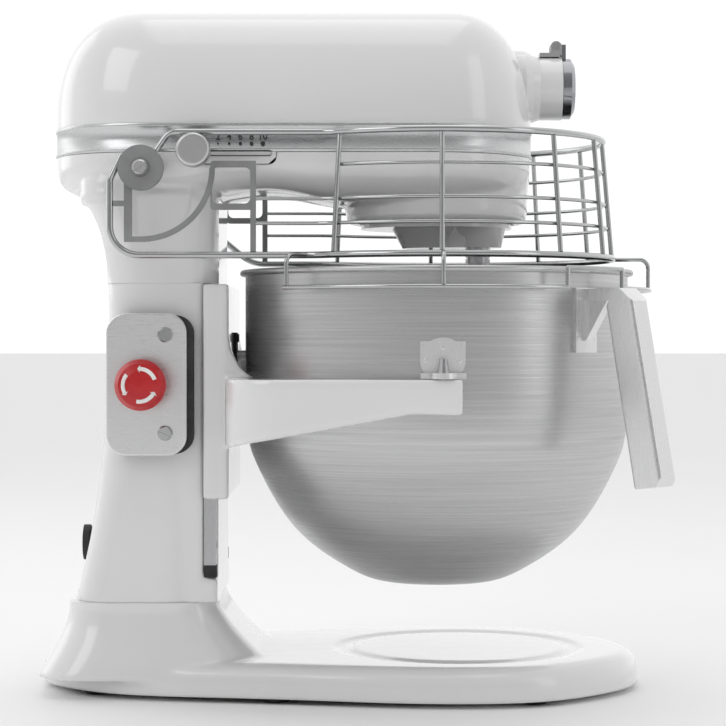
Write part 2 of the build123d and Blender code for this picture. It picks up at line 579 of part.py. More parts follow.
def bowl_solid(gauge, top):
    points = bowl_curve(gauge)
    low = points[0][1]
    curve = Spline([Vector(r, 0, z) for r, z in points], tangents=[(1, 0, 0.05), (0, 0, 1)])
    wall_r = BOWL_R - gauge
    rest = Polyline([Vector(wall_r, 0, 184.0), Vector(wall_r, 0, top), Vector(0, 0, top), Vector(0, 0, low),
                     Vector(BOWL_FLOOR_R, 0, low)])
    outline = make_face(Wire([curve] + rest.edges()))
    return Pos(BOWL_X, 0, 0) * revolve(outline, Axis.Z)


def make_bowl_shell():
    """Pressed steel bowl with a rolled rim."""
    bead_r = 1.9
    bead = Pos(BOWL_X, 0, BOWL_RIM - bead_r) * Torus(BOWL_LIP_R - bead_r, bead_r)
    body = bowl_solid(0.0, BOWL_RIM - bead_r) + bead
    body -= bowl_solid(BOWL_GAUGE, BOWL_RIM + 5.0)
    return body


def bowl_wall(outset, z0, z1):
    """A stretch of the bowl's cylindrical outside, grown by an outset."""
    ring = Pos(BOWL_X, 0, z0) * Circle(BOWL_R + outset) - Pos(BOWL_X, 0, z0) * Circle(BOWL_R)
    return up(ring, z1 - z0)


def make_bowl_ears():
    """Lifting ears: a half-round plate on the wall and a flange with the hole for the locating pin."""
    ears = []
    for side in (1, -1):
        plane = Plane(origin=(BOWL_X, 0, EAR_TOP - EAR_R), x_dir=(1, 0, 0), z_dir=(0, side, 0))
        outline = Circle(EAR_R) + Pos(0, -side * 5.4) * Rectangle(2 * EAR_R, 10.8)
        plate = extrude(plane * outline, 140.0) & bowl_wall(2.2, EAR_FLANGE_LOW, 220.0)
        flange = Pos(BOWL_X, side * EAR_PIN_Y, EAR_FLANGE_LOW) * Circle(8.0)
        foot = Pos(BOWL_X, side * 122.0, EAR_FLANGE_LOW) * Rectangle(2 * EAR_R, 16.0)
        tab = up(flange + foot, 3.4) - Pos(BOWL_X, 0, 200.0) * Cylinder(BOWL_R, 60.0)
        ear = plate + tab
        ear -= Pos(BOWL_X, side * EAR_PIN_Y, 200.0) * Cylinder(PIN_BASE_R + 0.4, 40.0)
        ears.append(ear)
    return Compound(ears)


def make_bowl_rear_pin():
    pin = Pos(-64.4, 0, REAR_PIN_Z) * Rot(0, 90, 0) * Cylinder(REAR_PIN_R, 6.0)
    return pin - Pos(BOWL_X, 0, 200.0) * Cylinder(BOWL_R, 60.0)


def handle_plane():
    """Radial plane through the bowl handle: local X outwards, local Y upwards."""
    angle = math.radians(HANDLE_AZIMUTH)
    outward = (math.cos(angle), math.sin(angle), 0)
    normal = (math.sin(angle), -math.cos(angle), 0)
    return Plane(origin=(BOWL_X, 0, 0), x_dir=outward, z_dir=normal)


def make_handle_bracket():
    """Plate welded to the wall under the rim, its top folded out over the grip."""
    plane = handle_plane()
    plate = extrude(plane * (Pos(125, 226.0) * Rectangle(20, 38.0)), 9.5, both=True)
    body = plate & bowl_wall(2.4, 190.0, 250.0)
    arm = extrude(plane * (Pos(133.5, 240.8) * Rectangle(31.0, 6.8)), 6.6, both=True)
    body += arm - Pos(BOWL_X, 0, 200.0) * Cylinder(BOWL_R, 200.0)
    gusset = make_face(Polyline([plane.from_local_coords(Vector(r, z, 0)) for r, z in
                                 [(119.5, 214.0), (123.0, 214.0), (139.0, 238.0), (119.5, 238.0)]], close=True))
    body += extrude(gusset, 3.0, both=True, dir=plane.z_dir) - Pos(BOWL_X, 0, 200.0) * Cylinder(BOWL_R, 200.0)
    return body


def make_bowl_handle():
    """Channel grip leaning outwards, with a sloping shoulder and a closed lower end."""
    profile = [(141.0, 233.0), (149.0, 244.2), (151.5, 244.4), (160.5, 237.0), (181.0, 137.0), (178.0, 131.0),
               (163.5, 129.0), (161.0, 132.0)]
    plane = handle_plane()
    corners = [plane.from_local_coords(Vector(r, z, 0)) for r, z in profile]
    body = extrude(make_face(Polyline(corners, close=True)), 7.8, both=True, dir=plane.z_dir)
    long_edges = body.edges().filter_by(lambda e: e.length > 60)
    return fillet(long_edges, 2.6) - make_handle_bracket()


# ---------------------------------------------------------------- guard
def rod(start, end, radius):
    return round_bar(Line(start, end), radius)


def ball(where, radius):
    return Pos(*where) * Sphere(radius)


def arc_bar(ring_r, start, stop, z, radius):
    return round_bar(CenterArc((BOWL_X, 0, z), ring_r, start, stop - start), radius)


def side_bend(ring_r, y=GUARD_Y):
    """Where a straight side run meets the reverse bend, and the angle that the bend turns."""
    reach = math.sqrt((ring_r + BEND_R) ** 2 - (y + BEND_R) ** 2)
    return BOWL_X - reach, math.degrees(math.atan2(y + BEND_R, reach))


def guard_ring_path(ring_r, z, near_run, far_run):
    """Straight run, reverse bend, round the bowl, reverse bend, straight run."""
    bend_x, angle = side_bend(ring_r)
    turn = 90.0 - angle
    start = Vector(bend_x, -GUARD_Y, z)
    near_bend = JernArc(start, (1, 0, 0), BEND_R, -turn)
    front = JernArc(near_bend @ 1, near_bend % 1, ring_r, 180 + 2 * turn)
    far_bend = JernArc(front @ 1, front % 1, BEND_R, -turn)
    return Wire(near_run(start).edges() + [near_bend, front, far_bend] + far_run(far_bend @ 1).edges())


def make_guard_top_wire():
    def run(side):
        def build(end):
            points = [(PIVOT_X + 9.0, side * GUARD_Y, PIVOT_Z + 10.4), (-103.0, side * GUARD_Y, TOP_WIRE_Z),
                      (end.X, side * GUARD_Y, TOP_WIRE_Z)]
            if side > 0:
                points.reverse()
            return FilletPolyline(points, radius=9.0)
        return build
    return round_bar(guard_ring_path(TOP_WIRE_R, TOP_WIRE_Z, run(-1), run(1)), FRAME_WIRE)


def make_guard_bottom_wire():
    def near(end):
        points = [(-131.2, -GUARD_Y, 323.0), (LOOP_X, -GUARD_Y, 309.0), (LOOP_X, -GUARD_Y, BOTTOM_WIRE_Z),
                  (end.X, -GUARD_Y, BOTTOM_WIRE_Z)]
        return FilletPolyline(points, radius=[8.0, 17.0])

    def far(end):
        points = [(end.X, GUARD_Y, BOTTOM_WIRE_Z), (-62.0, GUARD_Y, BOTTOM_WIRE_Z), (-110.6, GUARD_Y, 304.4)]
        return FilletPolyline(points, radius=22.0)
    return round_bar(guard_ring_path(BOTTOM_WIRE_R, BOTTOM_WIRE_Z, near, far), FRAME_WIRE)


def upright_r(z):
    """Radius of the cage at a height: it widens from the top wire to the bottom wire."""
    share = (TOP_WIRE_Z - z) / (TOP_WIRE_Z - BOTTOM_WIRE_Z)
    return TOP_WIRE_R + share * (BOTTOM_WIRE_R - TOP_WIRE_R)


def make_guard_uprights():
    bars = []
    for azimuth in UPRIGHTS:
        top = polar(upright_r(TOP_WIRE_Z - 1.9), azimuth, TOP_WIRE_Z - 1.9)
        low = polar(upright_r(BOTTOM_WIRE_Z + 1.9), azimuth, BOTTOM_WIRE_Z + 1.9)
        bars.append(rod(top, low, UPRIGHT_WIRE))
    return Compound(bars)


def make_guard_rings():
    """Thin level wires welded inside the uprights."""
    rings = []
    inset = RING_WIRE + UPRIGHT_WIRE - 0.1
    for z in RING_LEVELS:
        def run(side, level=z):
            def build(end):
                points = [(BAR_FRONT, side * GUARD_Y, level), (end.X, side * GUARD_Y, level)]
                if side > 0:
                    points.reverse()
                return Line(*points)
            return build
        path = guard_ring_path(upright_r(z) - inset, z, run(-1), run(1))
        rings.append(round_bar(path, RING_WIRE))
    rings.append(arc_bar(upright_r(SHORT_RING_Z) - inset, -126.0, 126.0, SHORT_RING_Z, RING_WIRE))
    return Compound(rings)


def make_guard_skirt():
    """Wire round the outside of the bowl's rim, arched over the bowl's handle."""
    body = arc_bar(SKIRT_R, -SKIRT_END, ARCH_FROM, SKIRT_Z, SKIRT_WIRE)
    body += arc_bar(SKIRT_R, ARCH_TO, SKIRT_END, SKIRT_Z, SKIRT_WIRE)
    body += arc_bar(SKIRT_R, ARCH_FROM, ARCH_TO, ARCH_Z, SKIRT_WIRE)
    for azimuth in (ARCH_FROM, ARCH_TO):
        low, high = polar(SKIRT_R, azimuth, SKIRT_Z), polar(SKIRT_R, azimuth, ARCH_Z)
        body += rod(low, high, SKIRT_WIRE)
        body += ball(low, SKIRT_WIRE * 1.02) + ball(high, SKIRT_WIRE * 1.02)
    return body


def make_guard_links():
    """Short wires from the bottom wire out over the bowl's rim and down to the skirt."""
    links = []
    for azimuth in LINKS:
        inner = max(BOTTOM_WIRE_R + 1.9, 0)
        if abs(azimuth) > 125:
            inner = 116.0
        points = [polar(inner, azimuth, BOTTOM_WIRE_Z), polar(SKIRT_R, azimuth, BOTTOM_WIRE_Z),
                  polar(SKIRT_R, azimuth, SKIRT_Z + 1.2)]
        links.append(round_bar(FilletPolyline(points, radius=5.5), SKIRT_WIRE))
    return Compound(links)


def plate_outline():
    """Side plate of the guard in its own plane, measured from the pivot: a disc, a quarter ring with a
    strip down its back, and an open window whose front bar runs down to the bottom wire."""
    quarter = Circle(ARC_OUTER) - Circle(ARC_INNER)
    quarter &= Pos(ARC_OUTER / 2, -ARC_OUTER / 2) * Rectangle(ARC_OUTER, ARC_OUTER)
    strip = Pos(-7.6, -22.0) * Rectangle(4.6, 40.0)
    foot = Pos(-3.6, -42.0) * Rectangle(12.4, 3.2)
    tab = Pos(-12.9, -20.9) * Rectangle(6.4, 3.2)
    window = Pos(54.4, -10.3) * RectangleRounded(2 * 13.4, 28.8, 2.0)
    window -= Pos(53.2, -10.3) * RectangleRounded(22.6, 21.4, 3.4)
    bar = Pos(66.15, -22.6) * Rectangle(3.3, 53.4)
    return Circle(PIVOT_DISC_R) + quarter + strip + foot + tab + window + bar


def make_guard_plates():
    plates = []
    for side in (1, -1):
        plane = Plane(origin=(PIVOT_X, side * GUARD_Y + PLATE_GAUGE / 2, PIVOT_Z), x_dir=(1, 0, 0), z_dir=(0, -1, 0))
        outline = plate_outline()
        if side > 0:
            outline -= Pos(-12.9, -20.9) * Rectangle(6.6, 10.0)
        plate = extrude(plane * outline, PLATE_GAUGE, dir=(0, -1, 0))
        plate -= Pos(PIVOT_X, side * GUARD_Y, PIVOT_Z) * Rot(90, 0, 0) * Cylinder(PIVOT_BOLT_R + 0.05, 20.0)
        plate -= make_guard_top_wire() + make_guard_bottom_wire()
        plates.append(plate)
    return Compound(plates)


def make_guard_discs():
    """Thick washers welded outside the plates at the pivot."""
    discs = []
    for side in (1, -1):
        where = Pos(PIVOT_X, side * (GUARD_Y + PLATE_GAUGE / 2 + 1.4), PIVOT_Z)
        disc = where * Rot(90, 0, 0) * Cylinder(PIVOT_DISC_R, 2.8)
        disc -= make_guard_top_wire() + make_guard_bottom_wire()
        discs.append(disc - where * Rot(90, 0, 0) * Cylinder(PIVOT_BOLT_R + 0.05, 9.0))
    return Compound(discs)


def make_pivot_bolts():
    """Shouldered bolts in the sides of the gearcase, with domed slotted heads."""
    bolts = []
    for side in (1, -1):
        shank = Pos(PIVOT_X, side * 75.6, PIVOT_Z) * Rot(90, 0, 0) * Cylinder(PIVOT_BOLT_R, 18.4)
        boss = Pos(PIVOT_X, side * 74.7, PIVOT_Z) * Rot(90, 0, 0) * Cylinder(9.0, 7.0)
        dome = Pos(PIVOT_X, side * 84.8, PIVOT_Z) * Sphere(5.4)
        dome &= Pos(PIVOT_X, side * 86.8, PIVOT_Z) * Box(14, 4.0, 14)
        dome -= Pos(PIVOT_X, side * 89.6, PIVOT_Z) * Rot(0, -35, 0) * Box(14, 3.4, 1.2)
        bolts.append(shank + boss + dome)
    return Compound(bolts)


# ---------------------------------------------------------------- planetary drive


def make_carrier():
    """Rotating planetary head: a disc closing the gear chamber, with an eccentric boss below it."""
    disc = Pos(BOWL_X, 0, (CARRIER_SKIRT + CARRIER_TOP) / 2) * Cylinder(CARRIER_DISC_R, CARRIER_TOP - CARRIER_SKIRT)
    height = CARRIER_SKIRT - CARRIER_LOW
    middle = (CARRIER_SKIRT + CARRIER_LOW) / 2
    cone = Pos(BOWL_X, 0, middle) * Cone(21.0, 27.5, height)
    boss = Pos(AGITATOR_X, AGITATOR_Y, middle) * Cone(14.6, 17.2, height)
    bridge = Pos((BOWL_X + AGITATOR_X) / 2, AGITATOR_Y / 2, middle) * Rot(0, 0, OFFSET_ANGLE) * Box(OFFSET, 32.0, height)
    hub = Pos(BOWL_X, 0, 296.0) * Cylinder(12.5, 14.0)
    body = disc + cone + boss + bridge + hub
    body -= Pos(AGITATOR_X, AGITATOR_Y, 280.0) * Cylinder(AGITATOR_R + 0.05, 40.0)
    body -= Pos(BOWL_X, 0, 300.0) * Cylinder(SHAFT_R, 30.0)
    screw_at = math.radians(205)
    screw = Pos(BOWL_X + 24.0 * math.cos(screw_at), 24.0 * math.sin(screw_at), 277.0)
    return body - screw * Rot(0, 90, 205) * Cylinder(3.0, 8.0)


def make_planetary_shaft():
    return Pos(BOWL_X, 0, (285.0 + CROWN_TOP) / 2) * Cylinder(SHAFT_R, CROWN_TOP - 285.0)


def bevel_blank(big_r, small_r, depth, hub_r, hub_length, bore_r, teeth):
    """Bevel gear standing on its hub, its axis up, with straight teeth cut by wedges."""
    blank = Pos(0, 0, hub_length + depth / 2) * Cone(big_r, small_r, depth)
    blank += Pos(0, 0, hub_length / 2) * Cylinder(hub_r, hub_length)
    for i in range(teeth):
        cut = Rot(0, 0, 360 * i / teeth) * Pos((big_r + small_r) / 2 + 0.6, 0, hub_length + depth / 2)
        slope = math.degrees(math.atan2(big_r - small_r, depth))
        blank -= cut * Rot(0, -slope, 0) * Box(1.6, 1.7, 3 * depth)
    return blank - Cylinder(bore_r, 200.0) if bore_r else blank


def make_crown_bevel():
    gear = bevel_blank(CROWN_PITCH_R - 0.6, 21.6, 6.4, 19.0, CROWN_TOP - CROWN_LOW - 6.4, SHAFT_R, 30)
    return Pos(BOWL_X, 0, CROWN_LOW) * gear


def make_drive_bevel():
    """Output pinion of the motor's gearhead, on its shaft."""
    gear = bevel_blank(BEVEL_PITCH_R - 0.8, 17.0, 7.6, 12.0, 8.0, 0, 24)
    shaft = Pos(0, 0, -18.0) * Cylinder(6.0, 36.0)
    return Pos(19.6, 0, HUB_Z) * Rot(0, 90, 0) * (gear + shaft)


def make_hub_shaft():
    """Bevel pinion and square socket that drive an attachment from the front of the head."""
    gear = bevel_blank(BEVEL_PITCH_R - 0.8, 17.0, 7.6, 12.6, 22.0, 0, 24)
    gear -= Pos(0, 0, 7.0) * Box(SOCKET_SQUARE, SOCKET_SQUARE, 15.0)
    return Pos(HUB_SHAFT_END, 0, HUB_Z) * Rot(0, -90, 0) * gear


def gear_face(pitch_r, teeth, bore_r, phase):
    """Outline of an external gear with tapered teeth."""
    points = []
    for i in range(teeth):
        for share, r in ((-0.32, pitch_r - 1.5), (-0.16, pitch_r + TOOTH_REACH), (0.16, pitch_r + TOOTH_REACH),
                         (0.32, pitch_r - 1.5)):
            angle = 2 * math.pi * (i + share) / teeth + phase
            points.append(Vector(r * math.cos(angle), r * math.sin(angle), 0))
    return make_face(Polyline(points, close=True)) - Circle(bore_r)


def make_agitator_pinion():
    """Pinion at the top of the agitator shaft, rolling inside the ring gear."""
    phase = math.radians(OFFSET_ANGLE)
    face = gear_face(PINION_TEETH * MODULE / 2, PINION_TEETH, AGITATOR_R, phase)
    return Pos(AGITATOR_X, AGITATOR_Y, 0) * up(Pos(0, 0, RING_LOW) * face, RING_HIGH - RING_LOW)


def make_ring_gear():
    """Internal gear fixed in the gear chamber."""
    pitch_r = RING_TEETH * MODULE / 2
    phase = math.radians(OFFSET_ANGLE)
    points = []
    for i in range(RING_TEETH):
        for share, r in ((0.18, pitch_r + 1.5), (0.36, pitch_r - TOOTH_REACH), (0.64, pitch_r - TOOTH_REACH),
                         (0.82, pitch_r + 1.5)):
            angle = 2 * math.pi * (i + share) / RING_TEETH + phase
            points.append(Vector(r * math.cos(angle), r * math.sin(angle), 0))
    face = Circle(BULGE_R - WALL - 0.1) - make_face(Polyline(points, close=True))
    return Pos(BOWL_X, 0, 0) * up(Pos(0, 0, RING_LOW) * face, RING_HIGH - RING_LOW)


def make_agitator_shaft():
    """Shaft with two retaining grooves and a plain shank for the beater."""
    profile = [(0, 304.0), (AGITATOR_R, 304.0), (AGITATOR_R, 265.3), (7.0, 265.3), (7.0, 264.3),
               (AGITATOR_R, 264.3), (AGITATOR_R, 261.8), (7.0, 261.8), (7.0, 260.8), (AGITATOR_R, 260.8),
               (AGITATOR_R, 259.0), (SHANK_R, 257.6), (SHANK_R, SHANK_LOW + 1.5), (SHANK_R - 1.5, SHANK_LOW),
               (0, SHANK_LOW)]
    outline = make_face(Polyline([Vector(r, 0, z) for r, z in profile], close=True))
    shaft = revolve(outline, Axis.Z)
    shaft -= Pos(0, 0, CROSS_PIN_Z) * Rot(90, 0, 0) * Cylinder(2.2, 40.0)
    return Pos(AGITATOR_X, AGITATOR_Y, 0) * shaft


def make_agitator_pin():
    return Pos(AGITATOR_X, AGITATOR_Y, CROSS_PIN_Z) * Rot(90, 0, 0) * Cylinder(2.2, 20.0)


def make_gearcase_bridge():
    """Cast plate across the gear chamber that carries the bearing of the planetary shaft."""
    plate = Pos(BOWL_X, 0, 310.0) * Cylinder(BULGE_R - WALL - 0.1, 5.0)
    plate -= Pos(BOWL_X, 0, 310.0) * Cylinder(BEARING_R, 20.0)
    for i in range(6):
        angle = math.radians(60 * i + 30)
        plate -= Pos(BOWL_X + 34 * math.cos(angle), 34 * math.sin(angle), 310.0) * Cylinder(7.0, 20.0)
    return plate


def make_shaft_bearings():
    """Ball bearings of the planetary shaft."""
    rings = []
    for z in (310.0, 326.0):
        ring = Pos(BOWL_X, 0, z) * Cylinder(BEARING_R, 7.0)
        ring -= Pos(BOWL_X, 0, z) * Cylinder(SHAFT_R + 0.05, 20.0)
        groove = Pos(BOWL_X, 0, z + 3.5) * (Cylinder(14.5, 1.2) - Cylinder(11.0, 1.2))
        rings.append(ring - groove)
    return Compound(rings)


# ---------------------------------------------------------------- motor


def along_x(x0, x1, radius):
    return Pos((x0 + x1) / 2, 0, HUB_Z) * Rot(0, 90, 0) * Cylinder(radius, x1 - x0)


def motor_can():
    """Motor housing with end plates and cooling slots."""
    can = along_x(MOTOR_REAR, MOTOR_FRONT, MOTOR_R) - along_x(MOTOR_REAR + 4, MOTOR_FRONT - 4, MOTOR_R - 2.5)
    can -= along_x(MOTOR_REAR - 5, MOTOR_FRONT + 5, 5.05)
    for i in range(8):
        slot = Rot(45 * i + 22.5, 0, 0) * Pos(0, 0, MOTOR_R) * Box(36.0, 7.0, 12.0)
        can -= Pos((MOTOR_REAR + MOTOR_FRONT) / 2, 0, HUB_Z) * slot
    return can


def make_motor_stator():
    """Wound stator pressed into the motor's housing."""
    core = along_x(-128.0, -84.0, MOTOR_R - 2.5) - along_x(-130.0, -82.0, 24.4)
    for i in range(4):
        gap = Rot(90 * i + 45, 0, 0) * Pos(0, 0, 28.0) * Box(60.0, 12.0, 8.0)
        core -= Pos(-106.0, 0, HUB_Z) * gap
    return motor_can() + core


def make_motor_armature():
    core = along_x(-126.0, -86.0, 24.0)
    for i in range(18):
        core -= Pos(-106.0, 0, HUB_Z) * Rot(20 * i, 0, 0) * Pos(0, 0, 23.4) * Box(50.0, 1.8, 4.0)
    commutator = along_x(-82.0, -74.0, 13.0)
    return core + commutator + along_x(-160.0, -50.0, 5.0)


def make_gearhead():
    """Reduction gearbox between the motor and the drive bevel."""
    body = along_x(-60.0, -20.0, 31.0) + along_x(-62.0, -57.0, 34.0) + along_x(-20.0, -14.0, 14.0)
    body -= along_x(-66.0, -48.0, 5.05)
    return body - along_x(-18.0, 10.0, 6.05)


PARTS = {
    "base_casting": make_base, "rubber_feet": make_feet, "column_casting": make_column,
    "slide_rails": make_rails, "rail_stops": make_rail_stops, "gearhead": make_gearhead,
    "cord_gland": make_cord_gland, "gearcase_housing": make_gearcase, "head_cover": make_head_cover,
    "trim_band": make_trim_band, "hub_sleeve": make_hub_sleeve, "hub_bracket": make_hub_bracket,
    "hub_hinge_pin": make_hub_pin, "hub_cover": make_hub_cover, "attachment_knob": make_attachment_knob,
    "speed_plate": make_speed_plate, "speed_knob": make_speed_knob, "speed_lever": make_speed_lever,
    "control_board": make_control_board, "estop_box": make_estop_box, "estop_cover": make_estop_cover,
    "estop_screws": make_estop_screws, "estop_collar": make_estop_collar, "estop_button": make_estop_button,
    "estop_stem": make_estop_stem, "estop_switch": make_estop_switch, "lift_yoke": make_yoke,
    "bowl_pins": make_bowl_pins, "latch_spring": make_latch_spring, "lift_shaft": make_lift_shaft,
    "lift_crank": make_lift_crank, "lift_lever": make_lift_lever, "lift_grip": make_lift_grip,
    "bowl_shell": make_bowl_shell, "bowl_ears": make_bowl_ears, "bowl_rear_pin": make_bowl_rear_pin,
    "bowl_handle_bracket": make_handle_bracket, "bowl_handle": make_bowl_handle,
    "guard_top_wire": make_guard_top_wire, "guard_bottom_wire": make_guard_bottom_wire,
    "guard_uprights": make_guard_uprights, "guard_rings": make_guard_rings, "guard_skirt": make_guard_skirt,
    "guard_links": make_guard_links, "guard_plates": make_guard_plates, "guard_discs": make_guard_discs,
    "guard_pivot_bolts": make_pivot_bolts, "planetary_carrier": make_carrier,
    "planetary_shaft": make_planetary_shaft, "crown_bevel": make_crown_bevel, "drive_bevel": make_drive_bevel,
    "hub_shaft": make_hub_shaft, "agitator_pinion": make_agitator_pinion, "ring_gear": make_ring_gear,
    "agitator_shaft": make_agitator_shaft, "agitator_pin": make_agitator_pin,
    "gearcase_bridge": make_gearcase_bridge, "shaft_bearings": make_shaft_bearings,
    "motor_stator": make_motor_stator, "motor_armature": make_motor_armature,
}

for node, make in PARTS.items():
    save(node, make())
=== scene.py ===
import json
import math

import bmesh
import bpy
from mathutils import Matrix, Vector


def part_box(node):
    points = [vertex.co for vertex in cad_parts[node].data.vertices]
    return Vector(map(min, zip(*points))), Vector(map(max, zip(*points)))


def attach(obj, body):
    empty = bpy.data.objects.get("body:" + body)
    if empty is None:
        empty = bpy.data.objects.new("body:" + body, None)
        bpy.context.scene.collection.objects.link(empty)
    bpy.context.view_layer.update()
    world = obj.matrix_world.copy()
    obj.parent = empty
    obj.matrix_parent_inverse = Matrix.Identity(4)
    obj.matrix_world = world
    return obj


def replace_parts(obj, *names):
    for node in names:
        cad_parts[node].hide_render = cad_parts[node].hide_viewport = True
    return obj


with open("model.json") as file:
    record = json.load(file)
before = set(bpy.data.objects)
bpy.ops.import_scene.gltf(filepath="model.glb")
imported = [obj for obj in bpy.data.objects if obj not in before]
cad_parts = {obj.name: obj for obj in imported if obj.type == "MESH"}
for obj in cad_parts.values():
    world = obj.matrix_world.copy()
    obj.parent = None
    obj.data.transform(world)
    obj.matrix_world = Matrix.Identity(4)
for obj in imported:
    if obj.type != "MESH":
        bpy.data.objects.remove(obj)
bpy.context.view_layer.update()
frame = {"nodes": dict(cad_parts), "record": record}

MM = 0.001

# Places read from the frame
head_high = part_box("head_cover")[1]
band_low, band_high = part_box("trim_band")
bowl_low, bowl_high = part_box("bowl_shell")
BOWL_X = (bowl_low.x + bowl_high.x) / 2
HEAD_REAR, HEAD_FRONT = band_low.x + 0.3 * MM, band_high.x - 0.3 * MM
HEAD_TOP, BAND_LOW, BAND_HIGH = head_high.z - 0.1 * MM, band_low.z, band_high.z
HEAD_HALF = 69.5 * MM


# ---------------------------------------------------------------- materials
class Nodes:
    """A Principled material with helpers that add texture detail to it."""

    def __init__(self, name, colour, metallic=0.0, roughness=0.5, coat=0.0, anisotropic=0.0):
        self.material = bpy.data.materials.new(name)
        self.material.use_nodes = True
        self.tree = self.material.node_tree
        self.shader = self.tree.nodes["Principled BSDF"]
        self.shader.inputs["Base Color"].default_value = (*colour, 1)
        self.shader.inputs["Metallic"].default_value = metallic
        self.shader.inputs["Roughness"].default_value = roughness
        self.shader.inputs["Coat Weight"].default_value = coat
        self.shader.inputs["Coat Roughness"].default_value = 0.06
        self.shader.inputs["Anisotropic"].default_value = anisotropic
        self.coords = self.tree.nodes.new("ShaderNodeTexCoord").outputs["Object"]

    def noise(self, scale, detail=3.0, stretch=(1, 1, 1), roughness=0.55):
        mapping = self.tree.nodes.new("ShaderNodeMapping")
        mapping.inputs["Scale"].default_value = stretch
        self.tree.links.new(self.coords, mapping.inputs["Vector"])
        noise = self.tree.nodes.new("ShaderNodeTexNoise")
        noise.inputs["Scale"].default_value = scale
        noise.inputs["Detail"].default_value = detail
        noise.inputs["Roughness"].default_value = roughness
        self.tree.links.new(mapping.outputs["Vector"], noise.inputs["Vector"])
        return noise.outputs["Fac"]

    def spread(self, value, low, high):
        """Maps a 0-1 texture onto a range."""
        mapped = self.tree.nodes.new("ShaderNodeMapRange")
        mapped.inputs["From Min"].default_value = 0.3
        mapped.inputs["From Max"].default_value = 0.7
        mapped.inputs["To Min"].default_value = low
        mapped.inputs["To Max"].default_value = high
        self.tree.links.new(value, mapped.inputs["Value"])
        return mapped.outputs["Result"]

    def vary_roughness(self, value, low, high):
        self.tree.links.new(self.spread(value, low, high), self.shader.inputs["Roughness"])

    def vary_colour(self, value, dark, light):
        ramp = self.tree.nodes.new("ShaderNodeValToRGB")
        ramp.color_ramp.elements[0].position = 0.3
        ramp.color_ramp.elements[0].color = (*dark, 1)
        ramp.color_ramp.elements[1].position = 0.7
        ramp.color_ramp.elements[1].color = (*light, 1)
        self.tree.links.new(value, ramp.inputs["Fac"])
        self.tree.links.new(ramp.outputs["Color"], self.shader.inputs["Base Color"])

    def bump(self, value, strength, distance):
        bump = self.tree.nodes.new("ShaderNodeBump")
        bump.inputs["Strength"].default_value = strength
        bump.inputs["Distance"].default_value = distance
        self.tree.links.new(value, bump.inputs["Height"])
        self.tree.links.new(bump.outputs["Normal"], self.shader.inputs["Normal"])

    def rings_about(self, x, y, scale):
        """Noise on the radius about a vertical axis and the height: turning marks on a spun part."""
        shifted = self.tree.nodes.new("ShaderNodeVectorMath")
        shifted.operation = "SUBTRACT"
        shifted.inputs[1].default_value = (x, y, 0)
        self.tree.links.new(self.coords, shifted.inputs[0])
        parts = self.tree.nodes.new("ShaderNodeSeparateXYZ")
        self.tree.links.new(shifted.outputs["Vector"], parts.inputs["Vector"])
        flat = self.tree.nodes.new("ShaderNodeCombineXYZ")
        self.tree.links.new(parts.outputs["X"], flat.inputs["X"])
        self.tree.links.new(parts.outputs["Y"], flat.inputs["Y"])
        length = self.tree.nodes.new("ShaderNodeVectorMath")
        length.operation = "LENGTH"
        self.tree.links.new(flat.outputs["Vector"], length.inputs[0])
        angle = self.tree.nodes.new("ShaderNodeMath")
        angle.operation = "ARCTAN2"
        self.tree.links.new(parts.outputs["Y"], angle.inputs[0])
        self.tree.links.new(parts.outputs["X"], angle.inputs[1])
        slow = self.tree.nodes.new("ShaderNodeMath")
        slow.operation = "MULTIPLY"
        slow.inputs[1].default_value = 0.0012
        self.tree.links.new(angle.outputs["Value"], slow.inputs[0])
        joined = self.tree.nodes.new("ShaderNodeCombineXYZ")
        self.tree.links.new(length.outputs["Value"], joined.inputs["X"])
        self.tree.links.new(slow.outputs["Value"], joined.inputs["Y"])
        self.tree.links.new(parts.outputs["Z"], joined.inputs["Z"])
        noise = self.tree.nodes.new("ShaderNodeTexNoise")
        noise.inputs["Scale"].default_value = scale
        noise.inputs["Detail"].default_value = 4.0
        self.tree.links.new(joined.outputs["Vector"], noise.inputs["Vector"])
        return noise.outputs["Fac"]


def enamel():
    """Gloss white stove enamel: a clear top coat, faint orange peel, slight unevenness of tint."""
    m = Nodes("white_enamel", (0.80, 0.80, 0.80), roughness=0.2, coat=1.0)
    m.vary_colour(m.noise(14.0, 2.0), (0.796, 0.796, 0.796), (0.804, 0.804, 0.804))
    m.vary_roughness(m.noise(60.0, 4.0), 0.18, 0.23)
    m.bump(m.noise(420.0, 2.0), 0.02, 0.0004)
    return m.material


def brushed_bowl():
    m = Nodes("spun_stainless", (0.55, 0.55, 0.555), metallic=1.0, roughness=0.3, anisotropic=0.5)
    marks = m.rings_about(BOWL_X, 0.0, 2600.0)
    m.vary_roughness(marks, 0.26, 0.36)
    m.vary_colour(m.rings_about(BOWL_X, 0.0, 900.0), (0.50, 0.50, 0.505), (0.60, 0.60, 0.605))
    m.bump(marks, 0.05, 0.0001)
    return m.material


def brushed(name, colour, stretch, low=0.24, high=0.42):
    """Straight-grained metal: noise drawn out along one axis."""
    m = Nodes(name, colour, metallic=1.0, roughness=0.3, anisotropic=0.4)
    grain = m.noise(2400.0, 3.0, stretch)
    dark = tuple(0.96 * c for c in colour)
    m.vary_colour(grain, dark, colour)
    m.vary_roughness(grain, low, high)
    m.bump(grain, 0.03, 0.0001)
    return m.material


def chrome(name, colour, low=0.06, high=0.16):
    m = Nodes(name, colour, metallic=1.0, roughness=low)
    smears = m.noise(90.0, 4.0)
    m.vary_roughness(smears, low, high)
    m.vary_colour(m.noise(35.0, 3.0), tuple(0.92 * c for c in colour), colour)
    m.bump(m.noise(500.0, 2.0), 0.03, 0.0002)
    return m.material


